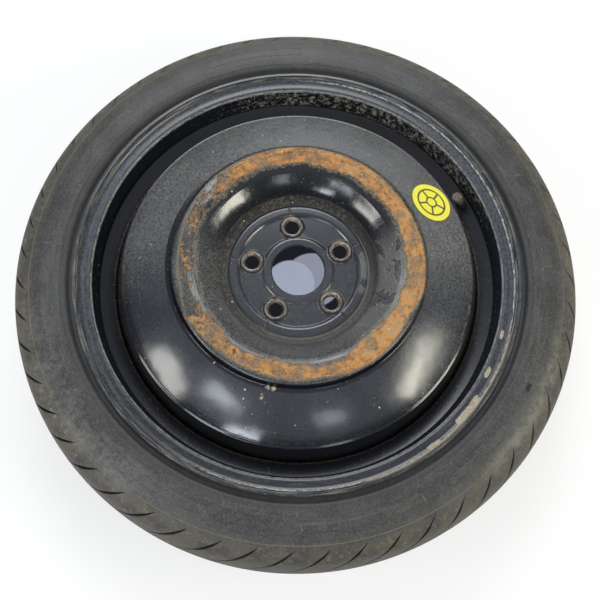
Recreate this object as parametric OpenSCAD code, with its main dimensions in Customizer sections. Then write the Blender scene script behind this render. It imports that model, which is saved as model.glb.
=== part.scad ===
// Space saver spare wheel: pressed steel disc in a rolled rim, with a narrow temporary tyre.
// The spin axis is +Z with the outboard side up, and z = 0 is the hub mounting face.

/* [Rim] */
// Diameter of the bead seats
seat_d = 436.6; // [430:0.2:444]
// Width between the flanges
rim_w = 101.6; // [98:0.2:108]
// Height of the flange above the bead seat
flange_h = 14.2; // [13:0.1:16]
// Thickness of the rim sheet
rim_t = 2.8; // [2.4:0.1:3.2]
// Depth of the well's inside face below the bead seats
well_drop = 20.05; // [18.8:0.05:21.3]
// Slope of the bead seats
seat_slope = 5; // [4:0.5:6]
// Height of the well's outboard corner above the middle plane
well_top = 19; // [17:0.2:21]
// Slope of the well's outboard wall, which the valve stands on
wall_slope = 26; // [24:0.5:28]
// Length of the well's flat bottom
well_flat = 30; // [27:0.5:33]
// Slope of the well's inboard wall
inboard_slope = 45; // [40:1:55]
// Curl of the flange, inside radius
curl_r = 7.2; // [6:0.1:7.4]
// Height of the lip above the flange's face
lip_h = 7.9; // [7.6:0.1:9]

/* [Disc] */
// Distance from the middle plane of the rim out to the hub face
wheel_offset = 37; // [30:0.5:42]
// Thickness of the disc sheet
disc_t = 3.4; // [3:0.1:3.8]
// Radius of the ridge's outer edge
ridge_r = 130; // [125:0.5:135]
// Width of the ridge's crown
ridge_w = 25; // [22:0.5:28]
// Height of the ridge's crown above the hub face
ridge_h = 40; // [36:0.5:44]
// Step from the ridge down to the dome
ridge_step = 5; // [4:0.2:6]
// Slope of the dome
dome_slope = 24; // [22:0.5:26]
// Slope of the flank against the axis
flank_slope = 18.4; // [17:0.2:20]
// Drop from the well's corner to the place where the flank leaves the skirt
flank_drop = 4.5; // [4:0.2:6]
// Length of the skirt inside the well
skirt_l = 22.5; // [18:0.5:25]
// Width of the valley between the raised ring and the bowl
valley_w = 4.8; // [4.6:0.2:8]
// Gap between the skirt and the well
skirt_gap = 0.05; // [0.02:0.01:0.2]

/* [Hub] */
// Diameter of the centre bore
bore_d = 56.1; // [54:0.1:60]
// Bevel of the bore's outboard edge
bore_bevel = 1.2; // [0.6:0.1:1.6]
// Number of wheel bolts
bolt_n = 5; // [4:1:6]
// Bolt circle diameter
bolt_pcd = 100; // [98:0.1:102]
// Diameter of the bolt holes
bolt_d = 15; // [14:0.1:16]
// Mouth diameter of the conical bolt seats
seat_mouth_d = 19.4; // [18.5:0.1:20.5]
// Diameter of the bolt bosses at their foot
boss_d = 29; // [27:0.5:31]
// Diameter of the bolt bosses at their top
boss_top_d = 23; // [22:0.5:25]
// Height of the bolt bosses above the pad
boss_h = 3.6; // [3:0.1:4.5]
// Outer radius of the raised ring round the pad
ring_r = 73.4; // [72:0.2:75]
// Width of the raised ring
ring_w = 8.4; // [7:0.2:9]
// Height of the raised ring above the pad
ring_h = 2.4; // [1.6:0.1:3]
// Outer radius of the raised collar round the bore
collar_r = 36.6; // [35:0.2:38]
// Height of the raised collar above the pad
collar_h = 1.8; // [1.2:0.1:2.4]
// Angle of the first bolt hole
bolt_spin = 26.2; // [0:0.1:71]

/* [Tyre] */
// Outside diameter of the tyre
tyre_d = 607; // [601:0.5:613]
// Width of the tyre
tyre_w = 128; // [125:0.5:131]
// Radius of the tread's crown
crown_r = 128; // [118:1:140]
// Radius of the shoulder
shoulder_r = 24; // [21:0.5:26]
// Radius of the sidewall
sidewall_r = 62; // [60:0.5:66]
// Distance from the tread's crown in to the widest place
wide_drop = 47.5; // [45:0.5:50]
// Height of the section that the radii are drawn for; other heights are stretched from it
section_h = 85.2; // [82:0.1:88]
// Thickness of the sidewall
sidewall_t = 7; // [6:0.2:8]
// Thickness under the tread
tread_t = 11; // [10:0.2:13]
// Depth of the tread grooves
groove_depth = 3.2; // [2.4:0.1:4]
// Number of shoulder grooves on a side
groove_n = 52; // [44:1:58]
// Widest place of a shoulder groove
groove_w = 5.2; // [4:0.2:6]
// Angle of the first shoulder groove
groove_spin = -3.2; // [-3.4:0.1:3.4]
// Width of the two grooves round the tread
ring_groove_w = 4.5; // [3:0.5:6]
// Distance of those grooves from the middle of the tread
ring_groove_at = 13; // [11:0.5:16]
// Gap between the tyre's bead and the rim
bead_gap = 0.05; // [0.02:0.01:0.2]

/* [Welds] */
// Number of weld beads between the disc and the rim
weld_n = 4; // [3:1:6]
// Length of a weld bead as an angle
weld_angle = 42; // [30:1:50]
// Size of a weld bead
weld_size = 3.2; // [2.5:0.1:3.4]

/* [Valve] */
// Angle of the valve round the wheel
valve_spin = 26; // [0:0.5:359]
// Diameter of the valve hole in the rim
valve_hole_d = 11.5; // [11.3:0.1:11.8]
// Diameter of the valve's base inside the tyre
valve_base_d = 13.2; // [12.8:0.1:13.4]
// Diameter of the valve's shoulder on the rim
valve_shoulder_d = 12; // [11.8:0.1:12.2]
// Length of the rubber body above the rim
valve_rubber_l = 18; // [16:0.5:19]
// Length of the brass stem above the rim
stem_l = 30.5; // [29:0.5:33]
// Diameter of the brass stem's thread
stem_thread_d = 7.7; // [7.5:0.1:7.9]
// Diameter of the brass stem inside the rubber
stem_d = 5.6; // [5.4:0.1:5.9]
// Length of the threaded tip
stem_thread_l = 11; // [10:0.5:12]
// Length of the valve core
core_l = 17; // [15:0.5:18]
// Diameter of the core's pin
pin_d = 1; // [0.9:0.05:1.1]
// Running clearance of the core's pin, radial
pin_fit = 0.06; // [0.03:0.01:0.09]
// Travel of the core's pin
pin_travel = 1.2; // [0.8:0.1:1.5]
// Outside diameter of the valve cap
cap_d = 10.2; // [9.8:0.1:11]
// Length of the valve cap
cap_l = 12.6; // [12:0.2:14]
// Clearance of the cap on the thread, radial
cap_fit = 0.3; // [0.3:0.05:0.4]
// Number of grip grooves on the cap
cap_grip_n = 12; // [8:1:16]

/* [Sticker] */
// Diameter of the yellow sticker
sticker_d = 49; // [40:1:52]
// Distance of the sticker's middle out from the dome's middle
sticker_shift = 1.5; // [-2:0.5:2]
// Thickness of the sticker
sticker_t = 0.3; // [0.2:0.05:0.4]
// Angle of the sticker round the wheel
sticker_spin = 27.5; // [0:0.5:359]

/* [Hidden] */
$fn = 96;
// Straight pieces in each rounded bend
bend_steps = 5;
// Room by which a cutter passes the face that it cuts
over = 1;
mid_z = -wheel_offset;

// Plain helpers for outlines in the plane of radius and height
function direction(a) = [cos(a), sin(a)];
function left_of(a) = [-sin(a), cos(a)];
function heading(p, q) = atan2(q.y - p.y, q.x - p.x);
function wrapped(a) = a > 180 ? a - 360 : a <= -180 ? a + 360 : a;
function flat_point(p) = [p.x, p.y];
function arc(c, r, a0, a1, steps) = [for (i = [0:steps]) c + r * direction(a0 + (a1 - a0) * i / steps)];
function reversed(list) = [for (i = [len(list) - 1:-1:0]) list[i]];
function mirrored(list) = [for (p = reversed(list)) [p.x, -p.y]];
// Where two straight lines meet, each given by a point and a heading
function crossing(p, a, q, b) =
    p + direction(a) * ((q.x - p.x) * sin(b) - (q.y - p.y) * cos(b)) / sin(b - a);

// A bent sheet: corners are [radius, height, inside bend radius] along one face.
// A positive thickness lies to the left of the path, a negative one to its right.
function bend(path, i, thick, at) =
    let (a = heading(path[i - 1], path[i]),
         turn = wrapped(heading(path[i], path[i + 1]) - a),
         side = sign(turn),
         face_r = path[i][2] + (side * thick > 0 ? abs(thick) : 0),
         start = flat_point(path[i]) - direction(a) * face_r * tan(abs(turn) / 2),
         centre = start + side * face_r * left_of(a))
    [for (s = [0:bend_steps]) centre - (side * face_r - at) * left_of(a + turn * s / bend_steps)];
function sheet_side(path, thick, at) =
    let (last = len(path) - 1)
    concat([flat_point(path[0]) + at * left_of(heading(path[0], path[1]))],
           [for (i = [1:last - 1]) for (p = bend(path, i, thick, at)) p],
           [flat_point(path[last]) + at * left_of(heading(path[last - 1], path[last]))]);
function sheet(path, thick) = concat(sheet_side(path, thick, 0), reversed(sheet_side(path, thick, thick)));

// Rim: the face towards the axis, from the outboard lip to the inboard lip
seat_r = seat_d / 2;
well_r = seat_r - well_drop;
tip_r = seat_r + flange_h;
flange_z = rim_w / 2;
lip_z = flange_z + rim_t + lip_h;
seat_in_r = seat_r - rim_t / cos(seat_slope);
seat_in = [seat_in_r + rim_t * tan(seat_slope), flange_z + rim_t];
well_corner = [well_r, well_top];
well_end = [well_r, well_top - well_flat];
wall_corner = crossing(seat_in, -90 - seat_slope, well_corner, wall_slope);
ledge_corner = crossing(well_end, -inboard_slope, [seat_in.x, -seat_in.y], -90 + seat_slope);
seat_bend = 0.9;
wall_bend = 1.1;
well_bend = 1.6;
ledge_bend = 6;
curl_c = [tip_r - rim_t - curl_r, flange_z + rim_t + curl_r];
rim_path = [
    [tip_r - rim_t, lip_z],
    [tip_r - rim_t, flange_z + rim_t, curl_r],
    [seat_in.x, seat_in.y, seat_bend],
    [wall_corner.x, wall_corner.y, wall_bend],
    [well_corner.x, well_corner.y, well_bend],
    [well_end.x, well_end.y, ledge_bend],
    [ledge_corner.x, ledge_corner.y, ledge_bend],
    [seat_in.x, -seat_in.y, seat_bend],
    [tip_r - rim_t, -flange_z - rim_t, curl_r],
    [tip_r - rim_t, -lip_z]
];

// Valve hole: the middle of the flat stretch of the well's outboard wall
flat_from = (well_bend + rim_t) * tan((90 - wall_slope) / 2);
flat_to = norm(wall_corner - well_corner) - wall_bend * tan((90 - wall_slope - seat_slope) / 2);
valve_foot = well_corner + direction(wall_slope) * (flat_from + flat_to) / 2;
valve_base_l = 5;
valve_groove_gap = 0.05;

// Disc: the outboard face, from the bore out to the end of the skirt
pad_z = disc_t;
skirt_r = well_r - skirt_gap;
skirt_top = [skirt_r, mid_z + well_top - flank_drop];
skirt_end_z = skirt_top.y - skirt_l;
ridge_fall = 1.2;
step_run = 2.6;
collar_run = 2.4;
ring_run = 2.8;
valley_h = 0.4;
valley_run = 2.6;
pad_bend = 1.5;
foot_bend = 6;
crown_bend = 12;
step_bend = 2;
edge_bend = 5;
dome_in = [ridge_r + step_run, ridge_h - ridge_fall - ridge_step];
dome_out = crossing(dome_in, -dome_slope, skirt_top, flank_slope - 90);
disc_path = [
    [bore_d / 2, pad_z + collar_h],
    [collar_r, pad_z + collar_h, pad_bend],
    [collar_r + collar_run, pad_z, pad_bend],
    [ring_r - ring_w - ring_run, pad_z, pad_bend],
    [ring_r - ring_w, pad_z + ring_h, pad_bend],
    [ring_r, pad_z + ring_h, pad_bend],
    [ring_r + valley_run, pad_z + valley_h, pad_bend],
    [ring_r + valley_run + valley_w, pad_z + valley_h, foot_bend],
    [ridge_r - ridge_w, ridge_h, crown_bend],
    [ridge_r, ridge_h - ridge_fall, step_bend],
    [dome_in.x, dome_in.y, step_bend],
    [dome_out.x, dome_out.y, edge_bend],
    [skirt_top.x, skirt_top.y, foot_bend],
    [skirt_r, skirt_end_z]
];

// Tyre: half the outline from the crown to the bead's toe and back inside
tyre_r = tyre_d / 2;
drawn_r = seat_r + section_h;
crown_c = [drawn_r - crown_r, 0];
wall_c = [drawn_r - wide_drop, tyre_w / 2 - sidewall_r];
centres = norm(wall_c - crown_c);
centre_x = (pow(centres, 2) + pow(crown_r - shoulder_r, 2) - pow(sidewall_r - shoulder_r, 2)) / (2 * centres);
centre_y = sqrt(pow(crown_r - shoulder_r, 2) - pow(centre_x, 2));
centre_a = heading(crown_c, wall_c);
shoulder_c = crown_c + centre_x * direction(centre_a) + centre_y * left_of(centre_a);
crown_a = heading(crown_c, shoulder_c);
wall_a = heading(wall_c, shoulder_c);
guard_h = 7.5;
guard_drop = 5;
guard_foot_h = 1.4;
guard_foot_a = -28;
guard_r = tip_r + guard_h;
guard_a = acos((guard_r - wall_c.x) / sidewall_r);
guard_z = (wall_c + sidewall_r * direction(guard_a)).y;
bead_z = flange_z - bead_gap;
bead_w = 16;
heel = 3.2;
toe_z = bead_z - bead_w;
toe_h = 3;
toe_cut = 0.8;
bead_h = 10;
bead_back = 5;
inner_guard_a = 100;
inner_shoulder_a = crown_a + 16;
inner_crown_a = crown_a - 5;
function bead_r(z) = seat_r + bead_gap / cos(seat_slope) - (flange_z - z) * tan(seat_slope);
// Moves what lies above the guard until a face under the crown, thick deep, is in its place
function stretched(points, thick) =
    let (share = (tyre_r - thick - guard_r) / (drawn_r - thick - guard_r))
    [for (p = points) [guard_r + (p.x - guard_r) * share, p.y]];
tyre_half = concat(
    stretched(arc(crown_c, crown_r, 0, crown_a, 4), 0),
    stretched(arc(shoulder_c, shoulder_r, crown_a + 9, wall_a, 4), 0),
    stretched(arc(wall_c, sidewall_r, wall_a + 5, guard_a, 8), 0),
    [[tip_r + 0.8 * guard_h, guard_z - 0.36 * guard_drop], [tip_r + 0.57 * guard_h, guard_z - 0.84 * guard_drop],
     [tip_r + guard_foot_h, guard_z - guard_drop]],
    arc(curl_c, curl_r + rim_t + bead_gap, guard_foot_a, -90, 5),
    [[seat_r + heel, bead_z], [bead_r(bead_z - heel), bead_z - heel], [bead_r(toe_z), toe_z],
     [seat_r + toe_h, toe_z - toe_cut], [seat_r + bead_h, toe_z + bead_back]],
    stretched(arc(wall_c, sidewall_r - sidewall_t, inner_guard_a, wall_a, 6), tread_t),
    stretched(arc(shoulder_c, shoulder_r - sidewall_t, wall_a - 5, inner_shoulder_a, 3), tread_t),
    stretched(arc(crown_c, crown_r - tread_t, inner_crown_a, 0, 4), tread_t)
);
tyre_outline = concat(tyre_half, [for (i = [1:len(tyre_half) - 2]) mirrored(tyre_half)[i]]);

// Shoulder groove: its plan on the shoulder, as [way along, half width] in shares
groove_tilt = 42;
groove_from = -13;
groove_to = 31;
groove_slant = 1.12;
groove_bow = 4;
groove_shares = [[0, 0.1], [0.3, 1], [1, 0.2]];
groove_reach = 20;
groove_end_a = 78;
function groove_u(s) = groove_from + (groove_to - groove_from) * s;
function groove_v(s) = -groove_slant * groove_u(s) + groove_bow * s * (1 - s);
groove_plan = concat(
    [for (g = groove_shares) [groove_u(g[0]), groove_v(g[0]) + g[1] * groove_w / 2]],
    [for (g = reversed(groove_shares)) [groove_u(g[0]), groove_v(g[0]) - g[1] * groove_w / 2]]
);
function tread_line(out) = concat(
    arc(crown_c, crown_r + out, 4, crown_a, 1),
    arc(shoulder_c, shoulder_r + out, crown_a + 14, groove_end_a, 2)
);
tread_band = concat(tread_line(-groove_depth), reversed(tread_line(2 * over)));

module shoulder_grooves() {
    foot = stretched([shoulder_c + shoulder_r * direction(groove_tilt)], 0)[0];
    intersection() {
        rotate_extrude($fn = 180) polygon(stretched(tread_band, 0));
        for (i = [0:groove_n - 1])
            rotate([0, 0, groove_spin + 360 * i / groove_n])
                translate([foot.x, 0, foot.y])
                    rotate([0, 90 - groove_tilt, 0])
                        translate([0, 0, -groove_reach])
                            linear_extrude(groove_reach + 8) polygon(groove_plan);
    }
}

module tyre() {
    color([0.12, 0.12, 0.12])
        translate([0, 0, mid_z])
            difference() {
                rotate_extrude($fn = 180) polygon(tyre_outline);
                shoulder_grooves();
                rotate([0, 0, 180 / groove_n]) mirror([0, 0, 1]) shoulder_grooves();
                for (side = [-1, 1])
                    rotate_extrude($fn = 180)
                        translate([tyre_r - groove_depth - 1.4, side * ring_groove_at - ring_groove_w / 2])
                            square([groove_depth + 3, ring_groove_w]);
            }
}

module rim() {
    color([0.1, 0.1, 0.12])
        difference() {
            translate([0, 0, mid_z]) rotate_extrude($fn = 180) polygon(sheet(rim_path, rim_t));
            in_valve_hole() translate([0, 0, -2 * rim_t]) cylinder(h = 3 * rim_t, d = valve_hole_d);
        }
}

bolt_r = bolt_pcd / 2;
seat_half_angle = 30;
seat_depth = (seat_mouth_d - bolt_d) / 2 / tan(seat_half_angle);
boss_top = pad_z + boss_h;
boss_root = 0.7;
boss_foot_d = boss_d + (boss_d - boss_top_d) * boss_root / boss_h;
recess_h = 1.4;
notch_w = 1.6;
notch_depth = 0.7;

module at_bolts() {
    for (i = [0:bolt_n - 1])
        rotate([0, 0, bolt_spin + 360 * i / bolt_n]) translate([bolt_r, 0, 0]) children();
}

module disc() {
    color([0.09, 0.09, 0.1])
        difference() {
            union() {
                rotate_extrude($fn = 180) polygon(sheet(disc_path, -disc_t));
                at_bolts() translate([0, 0, pad_z - boss_root])
                    cylinder(h = boss_root + boss_h, d1 = boss_foot_d, d2 = boss_top_d);
            }
            at_bolts() {
                translate([0, 0, -over]) cylinder(h = boss_top + 2 * over, d = bolt_d);
                translate([0, 0, boss_top - seat_depth])
                    cylinder(h = seat_depth + over, d1 = bolt_d, d2 = seat_mouth_d + 2 * over * tan(seat_half_angle));
                translate([0, 0, -over]) cylinder(h = recess_h + over, d1 = boss_top_d, d2 = seat_mouth_d - 2);
                translate([ring_r - bolt_r - ring_w / 2, 0, pad_z + ring_h])
                    cube([ring_w + over, notch_w, 2 * notch_depth], center = true);
            }
            translate([0, 0, pad_z + collar_h - bore_bevel])
                cylinder(h = bore_bevel + over, d1 = bore_d, d2 = bore_d + 2 * (bore_bevel + over));
        }
}

module weld_beads() {
    bead = [[skirt_r, skirt_end_z], [skirt_r - weld_size, skirt_end_z], [skirt_r, skirt_end_z - weld_size]];
    color([0.3, 0.3, 0.3])
        for (i = [0:weld_n - 1])
            rotate([0, 0, 360 * i / weld_n]) rotate_extrude(angle = weld_angle, $fn = 180) polygon(bead);
}

// The valve's own frame: height 0 is the rim's outboard face and the cap points up
module in_valve_hole() {
    rotate([0, 0, valve_spin])
        translate([valve_foot.x, 0, valve_foot.y + mid_z])
            rotate([0, -wall_slope, 0])
                children();
}

// A turned piece from [radius, height] corners, bored through where a bore is given
module turned(outline) {
    rotate_extrude($fn = 48) polygon(outline);
}

stem_r = stem_d / 2;
thread_r = stem_thread_d / 2;
bond = 0.02;
body_bore_r = stem_r + bond;
stem_foot_h = -rim_t - valve_base_l + 1;
thread_foot_h = stem_l - stem_thread_l;
groove_r = valve_hole_d / 2 - valve_groove_gap;
base_r = valve_base_d / 2;
rubber_shoulder_r = valve_shoulder_d / 2;
rubber_neck_r = stem_r + 1.7;

module valve_body() {
    color([0.1, 0.1, 0.1])
        in_valve_hole()
            turned([
                [body_bore_r, -rim_t - valve_base_l],
                [base_r - 1.6, -rim_t - valve_base_l],
                [base_r, -rim_t - 2],
                [base_r, -rim_t - 0.9],
                [base_r - 0.7, -rim_t - valve_groove_gap],
                [groove_r, -rim_t - valve_groove_gap],
                [groove_r, valve_groove_gap],
                [rubber_shoulder_r, valve_groove_gap],
                [rubber_shoulder_r, 1.8],
                [rubber_neck_r + 0.5, 4.5],
                [rubber_neck_r, valve_rubber_l - 1],
                [rubber_neck_r - 0.6, valve_rubber_l],
                [body_bore_r, valve_rubber_l]
            ]);
}

// The core sits in a stepped bore at the stem's mouth
core_top_h = stem_l - 1;
core_foot_h = core_top_h - core_l;
plug_l = 5;
plug_r = 2.3;
core_r = 1.7;
core_fit = 0.05;
gasket_l = 1.6;
air_r = 1.3;
pin_r = pin_d / 2;
pin_hole_r = pin_r + pin_fit;
core_bore_r = 1.25;
core_floor = 1;
plug_foot_h = core_top_h - plug_l;
gasket_foot_h = plug_foot_h - gasket_l;

module valve_stem() {
    color([0.72, 0.58, 0.3])
        in_valve_hole()
            turned([
                [air_r, stem_foot_h],
                [stem_r - 0.3, stem_foot_h],
                [stem_r, stem_foot_h + 0.3],
                [stem_r, thread_foot_h - 0.8],
                [thread_r, thread_foot_h],
                [thread_r, stem_l - 0.6],
                [thread_r - 0.5, stem_l],
                [plug_r + core_fit, stem_l],
                [plug_r + core_fit, gasket_foot_h],
                [core_r + 0.35, gasket_foot_h - 1],
                [core_r + 0.35, core_foot_h - pin_travel - 3],
                [air_r, core_foot_h - pin_travel - 4]
            ]);
}

module core_body() {
    color([0.75, 0.62, 0.35])
        in_valve_hole()
            difference() {
                union() {
                    translate([0, 0, core_foot_h]) cylinder(h = core_l - plug_l, r = core_r);
                    translate([0, 0, plug_foot_h]) cylinder(h = plug_l, r = plug_r);
                }
                translate([0, 0, core_foot_h + core_floor])
                    cylinder(h = core_l - plug_l - core_floor, r = core_bore_r);
                translate([0, 0, core_foot_h - over]) cylinder(h = core_l + 2 * over, r = pin_hole_r);
                for (side = [-1, 1])
                    translate([side * (pin_hole_r + plug_r) / 2, 0, core_top_h])
                        cube([0.9, 1.2, 3], center = true);
            }
}

module core_gasket() {
    color([0.55, 0.1, 0.1])
        in_valve_hole()
            turned([
                [core_r + core_fit, gasket_foot_h + core_fit],
                [plug_r - 0.25, gasket_foot_h + 0.4],
                [plug_r - core_fit, gasket_foot_h + 0.9],
                [plug_r - core_fit, plug_foot_h - core_fit],
                [core_r + core_fit, plug_foot_h - core_fit]
            ]);
}

collar_h0 = core_foot_h + core_floor + 5.6;
pin_collar_l = 0.7;
cup_l = 1.4;
cup_gap = 0.05;
seal_l = 0.9;
cup_r = 1.35;

module core_pin() {
    color([0.78, 0.66, 0.4])
        in_valve_hole() {
            translate([0, 0, core_foot_h - cup_l - seal_l]) cylinder(h = core_l + cup_l + seal_l + 0.6, r = pin_r);
            translate([0, 0, collar_h0]) cylinder(h = pin_collar_l, r = core_bore_r - 0.3);
            translate([0, 0, core_foot_h - cup_l - seal_l]) cylinder(h = cup_l, r = cup_r);
        }
}

module core_cup_seal() {
    color([0.15, 0.15, 0.15])
        in_valve_hole()
            translate([0, 0, core_foot_h - seal_l + cup_gap])
                difference() {
                    cylinder(h = seal_l - 2 * cup_gap, r = cup_r);
                    translate([0, 0, -over]) cylinder(h = seal_l + 2 * over, r = pin_r + bond);
                }
}

spring_r = 0.86;
spring_wire_d = 0.22;
spring_turns = 7;
spring_l = collar_h0 - core_foot_h - core_floor;
// A level cut through the sloping wire: a bow, as long as the wire is high on its slope
wire_share = [-3, -2, -1, 0, 1, 2, 3] / 3;
wire_bow = 180 * spring_wire_d * spring_turns / spring_l;
function wire_half(s) = spring_wire_d / 2 * sqrt(1 - s * s);
wire_cut = concat(
    [for (s = wire_share) (spring_r + wire_half(s)) * direction(s * wire_bow)],
    [for (i = [5:-1:1]) (spring_r - wire_half(wire_share[i])) * direction(wire_share[i] * wire_bow)]
);
module core_spring() {
    color([0.8, 0.8, 0.82])
        in_valve_hole()
            translate([0, 0, core_foot_h + core_floor])
                linear_extrude(spring_l, twist = -360 * spring_turns, slices = 10 * spring_turns, segments = 12)
                    polygon(wire_cut);
}

cap_r = cap_d / 2;
cap_roof = 1.4;
cap_seal_l = 0.9;
cap_seal_gap = 0.05;
cap_seal_foot_h = stem_l + cap_seal_gap;
cap_roof_h = cap_seal_foot_h + cap_seal_l + cap_seal_gap;
cap_foot_h = cap_roof_h + cap_roof - cap_l;
grip_r = 0.5;

module valve_cap() {
    bore_r = thread_r + cap_fit;
    color([0.13, 0.13, 0.13])
        in_valve_hole()
            difference() {
                turned([
                    [0, cap_roof_h],
                    [bore_r, cap_roof_h],
                    [bore_r, cap_foot_h],
                    [cap_r - 0.3, cap_foot_h],
                    [cap_r, cap_foot_h + 0.3],
                    [cap_r, cap_roof_h + cap_roof - 0.9],
                    [cap_r - 0.9, cap_roof_h + cap_roof],
                    [0, cap_roof_h + cap_roof]
                ]);
                for (i = [0:cap_grip_n - 1])
                    rotate([0, 0, 360 * i / cap_grip_n])
                        translate([cap_r + 0.15, 0, cap_foot_h - over]) cylinder(h = cap_l - 1, r = grip_r);
            }
}

module cap_seal() {
    color([0.2, 0.2, 0.2])
        in_valve_hole()
            translate([0, 0, cap_seal_foot_h])
                difference() {
                    cylinder(h = cap_seal_l, r = thread_r - 0.2);
                    translate([0, 0, -over]) cylinder(h = cap_seal_l + 2 * over, r = plug_r - 0.4);
                }
}

// The sticker: a round patch of the dome's face, laid on with a hair of glue
sticker_glue = 0.02;
module yellow_sticker() {
    up = left_of(-dome_slope);
    along = direction(-dome_slope);
    middle = (dome_in + dome_out) / 2 + along * sticker_shift;
    reach = sticker_d / 2 + over;
    from = middle - along * reach + up * sticker_glue;
    to = middle + along * reach + up * sticker_glue;
    color([0.95, 0.9, 0.25])
        intersection() {
            rotate_extrude($fn = 180) polygon([from, to, to + up * sticker_t, from + up * sticker_t]);
            rotate([0, 0, sticker_spin])
                translate([middle.x, 0, middle.y])
                    rotate([0, dome_slope, 0])
                        cylinder(h = sticker_d, d = sticker_d, center = true);
        }
}

tyre();
rim();
disc();
weld_beads();
valve_body();
valve_stem();
core_body();
core_gasket();
core_pin();
core_cup_seal();
core_spring();
valve_cap();
cap_seal();
yellow_sticker();
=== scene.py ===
import math

import bmesh
import bpy
from mathutils import Matrix, Vector


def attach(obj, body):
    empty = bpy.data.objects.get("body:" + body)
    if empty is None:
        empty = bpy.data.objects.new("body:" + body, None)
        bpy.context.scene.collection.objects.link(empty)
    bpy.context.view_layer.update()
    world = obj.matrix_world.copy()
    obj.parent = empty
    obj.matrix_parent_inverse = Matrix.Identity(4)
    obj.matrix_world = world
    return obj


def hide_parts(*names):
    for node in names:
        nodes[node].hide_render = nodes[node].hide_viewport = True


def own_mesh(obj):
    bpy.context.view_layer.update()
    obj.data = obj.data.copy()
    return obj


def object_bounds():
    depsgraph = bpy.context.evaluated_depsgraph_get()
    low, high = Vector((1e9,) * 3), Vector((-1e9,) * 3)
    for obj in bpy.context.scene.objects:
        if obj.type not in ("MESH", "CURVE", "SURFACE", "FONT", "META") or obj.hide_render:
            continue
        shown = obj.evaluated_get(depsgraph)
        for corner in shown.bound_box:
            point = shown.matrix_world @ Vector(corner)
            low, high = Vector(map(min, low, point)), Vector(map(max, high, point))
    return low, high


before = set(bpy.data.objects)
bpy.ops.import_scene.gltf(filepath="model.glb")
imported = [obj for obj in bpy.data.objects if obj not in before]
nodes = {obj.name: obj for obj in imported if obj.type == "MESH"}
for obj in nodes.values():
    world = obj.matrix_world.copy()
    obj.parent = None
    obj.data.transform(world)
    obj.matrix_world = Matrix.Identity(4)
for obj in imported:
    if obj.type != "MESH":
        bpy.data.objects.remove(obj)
cad_lo, cad_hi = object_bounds()
scene = bpy.context.scene
MM = 0.001
MID = -37.0  # height of the rim's middle plane above the hub face, mm


# Camera, light and floor
def set_camera():
    """The photo's camera, fitted to the rings that it shows: mm and radians."""
    dist, tip, swing, roll, drop = 761.71, 0.33466, -0.05602, -0.0063, 44.5
    side = dist * math.sin(tip)
    eye = Vector((side * math.sin(swing), -side * math.cos(swing), dist * math.cos(tip) - drop))
    aim = Vector((3.266, -17.657, -drop))
    fwd = (aim - eye).normalized()
    right = fwd.cross(Vector((math.sin(roll), math.cos(roll), 0))).normalized()
    up = right.cross(fwd)
    data = bpy.data.cameras.new("camera")
    data.sensor_width = 36.0
    data.lens = 40.2
    data.clip_start, data.clip_end = 0.02, 50.0
    cam = bpy.data.objects.new("camera", data)
    scene.collection.objects.link(cam)
    turn = Matrix((right, up, -fwd)).transposed().to_4x4()
    cam.matrix_world = Matrix.Translation(eye * MM) @ turn
    scene.camera = cam


def lamp(name, azimuth, elevation, distance, width, power, colour, aim=(0, 0, 0), height=None):
    """An area lamp that looks at aim: degrees, metres and watts."""
    data = bpy.data.lights.new(name, "AREA")
    data.shape = "RECTANGLE" if height else "SQUARE"
    data.size = width
    if height:
        data.size_y = height
    data.energy = power
    data.color = colour
    a, e = math.radians(azimuth), math.radians(elevation)
    way = Vector((math.cos(a) * math.cos(e), math.sin(a) * math.cos(e), math.sin(e)))
    obj = bpy.data.objects.new(name, data)
    obj.location = Vector(aim) + way * distance
    obj.rotation_mode = "QUATERNION"
    obj.rotation_quaternion = way.to_track_quat("Z", "Y")
    scene.collection.objects.link(obj)


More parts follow.
